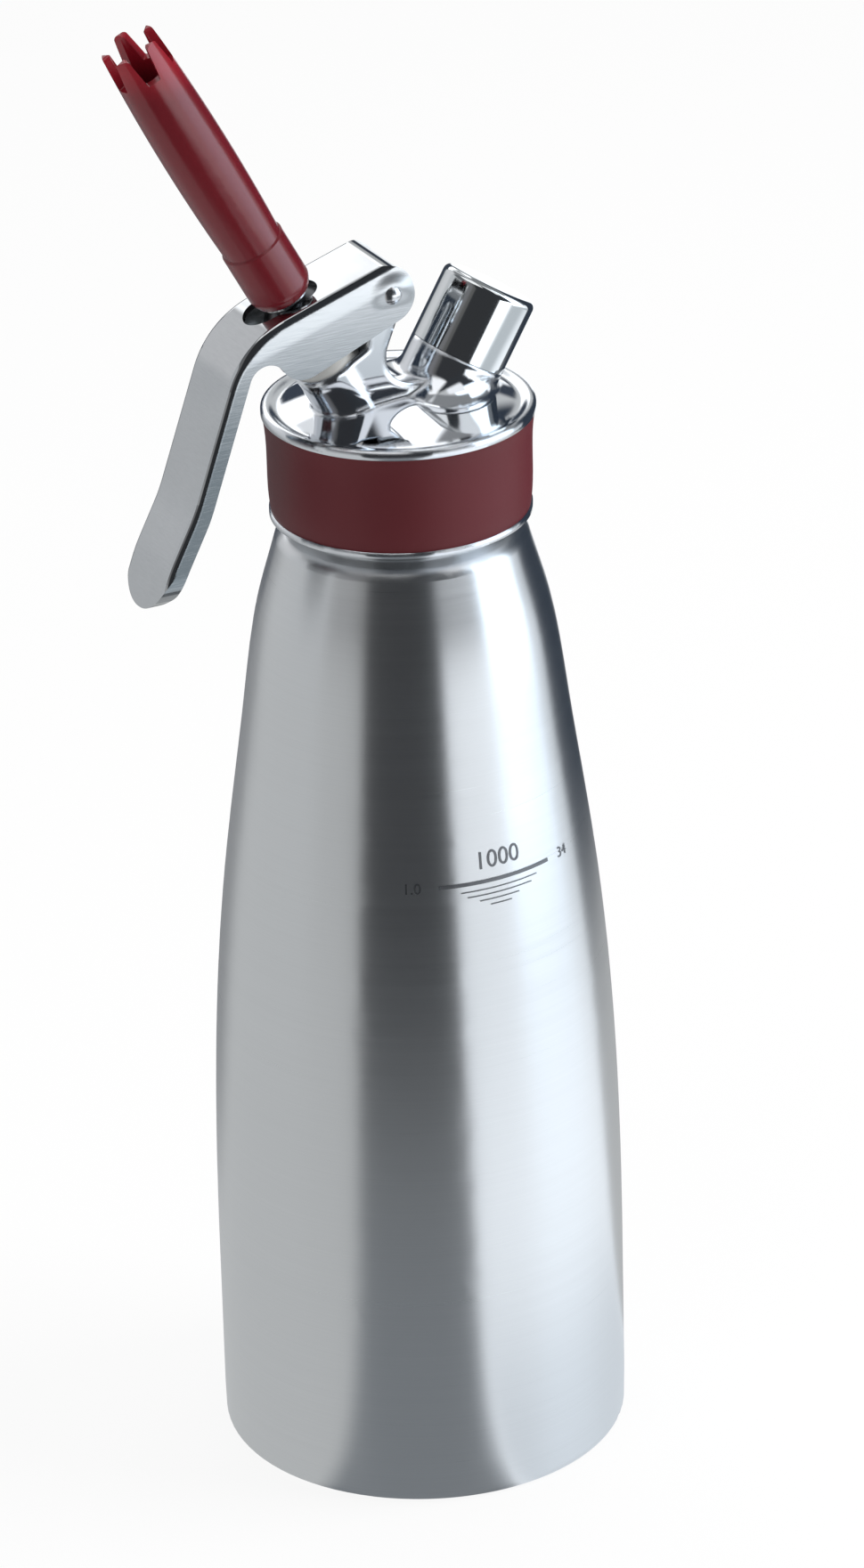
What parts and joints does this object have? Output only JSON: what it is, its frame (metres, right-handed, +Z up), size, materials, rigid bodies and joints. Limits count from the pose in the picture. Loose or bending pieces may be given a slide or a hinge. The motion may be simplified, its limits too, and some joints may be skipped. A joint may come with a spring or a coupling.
{
  "type": "whipped cream dispenser",
  "caption": "Whipped cream dispenser: steel bottle with a screw-on head, squeeze lever over a slanted valve with a toothed nozzle, and a capped charger port.",
  "frame": {"origin": "centre of the ring that the bottle stands on, on the bottle's axis, at the resting plane", "axes": "+Z up along the bottle's axis; the lever and the nozzle lean towards -X and the charger port towards +X, all in the plane y = 0; the fill level mark faces -Y"},
  "size_m": [0.1165, 0.096, 0.3592],
  "materials": {
    "bottle_steel": "satin, brushed round the axis",
    "head_chrome": "mirror polished",
    "cap_chrome": "mirror polished",
    "lever_steel": "polished on top, satin on the cheeks and handle",
    "pin_steel": "polished",
    "stem_steel": "turned",
    "insert_steel": "turned and polished",
    "nipple_steel": "turned and polished",
    "spring_steel": "drawn wire",
    "nozzle_plastic": "glossy, dark red",
    "bush_plastic": "satin",
    "washer_plastic": "satin",
    "band_silicone": "matte, burgundy",
    "gasket_silicone": "matte",
    "seal_rubber": "matte"
  },
  "bodies": {
    "bottle": {"bottle_shell": "bottle_steel", "neck_ring": "bottle_steel"},
    "gasket": {"head_gasket": "gasket_silicone"},
    "head": {"head_body": "head_chrome", "grip_band": "band_silicone", "guide_bush": "bush_plastic", "stem_o_ring": "seal_rubber", "valve_spring": "spring_steel", "port_nipple": "nipple_steel", "piercing_pin": "stem_steel", "pin_gasket": "seal_rubber", "check_valve": "seal_rubber", "pivot_washers": "washer_plastic"},
    "lever": {"lever": "lever_steel", "pivot_pin": "pin_steel"},
    "stem": {"valve_stem": "stem_steel", "valve_seal": "seal_rubber", "seal_retainer": "stem_steel"},
    "insert": {"nozzle_insert": "insert_steel"},
    "nozzle": {"nozzle_tip": "nozzle_plastic"},
    "cap_seal": {"cap_seal": "seal_rubber"},
    "cap": {"port_cap": "cap_chrome"}
  },
  "joints": [
    {"name": "head_rise", "type": "slide", "parent": "bottle", "child": "gasket", "axis": [0, 0, 1], "range_m": [0, 0.00875]},
    {"name": "head_turn", "type": "hinge", "parent": "gasket", "child": "head", "pos_m": [0, 0, 0.2495], "axis": [0, 0, 1], "range_deg": [0, 901]},
    {"name": "lever_squeeze", "type": "hinge", "parent": "head", "child": "lever", "pos_m": [-0.0054, 0, 0.2896], "axis": [0, -1, 0], "range_deg": [0, 9]},
    {"name": "valve_travel", "type": "slide", "parent": "head", "child": "stem", "axis": [0.4787, 0, -0.878], "range_m": [0, 0.0029], "stiffness_N_per_m": 2000, "springref_m": -0.004, "deforming": ["valve_spring"]},
    {"name": "nozzle_rise", "type": "slide", "parent": "stem", "child": "insert", "axis": [-0.4787, 0, 0.878], "range_m": [0, 0.00375]},
    {"name": "nozzle_turn", "type": "hinge", "parent": "insert", "child": "nozzle", "pos_m": [-0.02787, 0, 0.29157], "axis": [-0.4787, 0, 0.878], "range_deg": [0, 1081]},
    {"name": "cap_rise", "type": "slide", "parent": "head", "child": "cap_seal", "axis": [0.515, 0, 0.8572], "range_m": [0, 0.006]},
    {"name": "cap_turn", "type": "hinge", "parent": "cap_seal", "child": "cap", "pos_m": [0.01538, 0, 0.26836], "axis": [0.515, 0, 0.8572], "range_deg": [0, 1081]}
  ],
  "couplings": [
    {"joint": "head_turn", "follows": "head_rise", "rad_per_m": 1795.2},
    {"joint": "lever_squeeze", "follows": "valve_travel", "rad_per_m": 54.025},
    {"joint": "nozzle_turn", "follows": "nozzle_rise", "rad_per_m": 5026.5},
    {"joint": "cap_turn", "follows": "cap_rise", "rad_per_m": 3141.6}
  ]
}
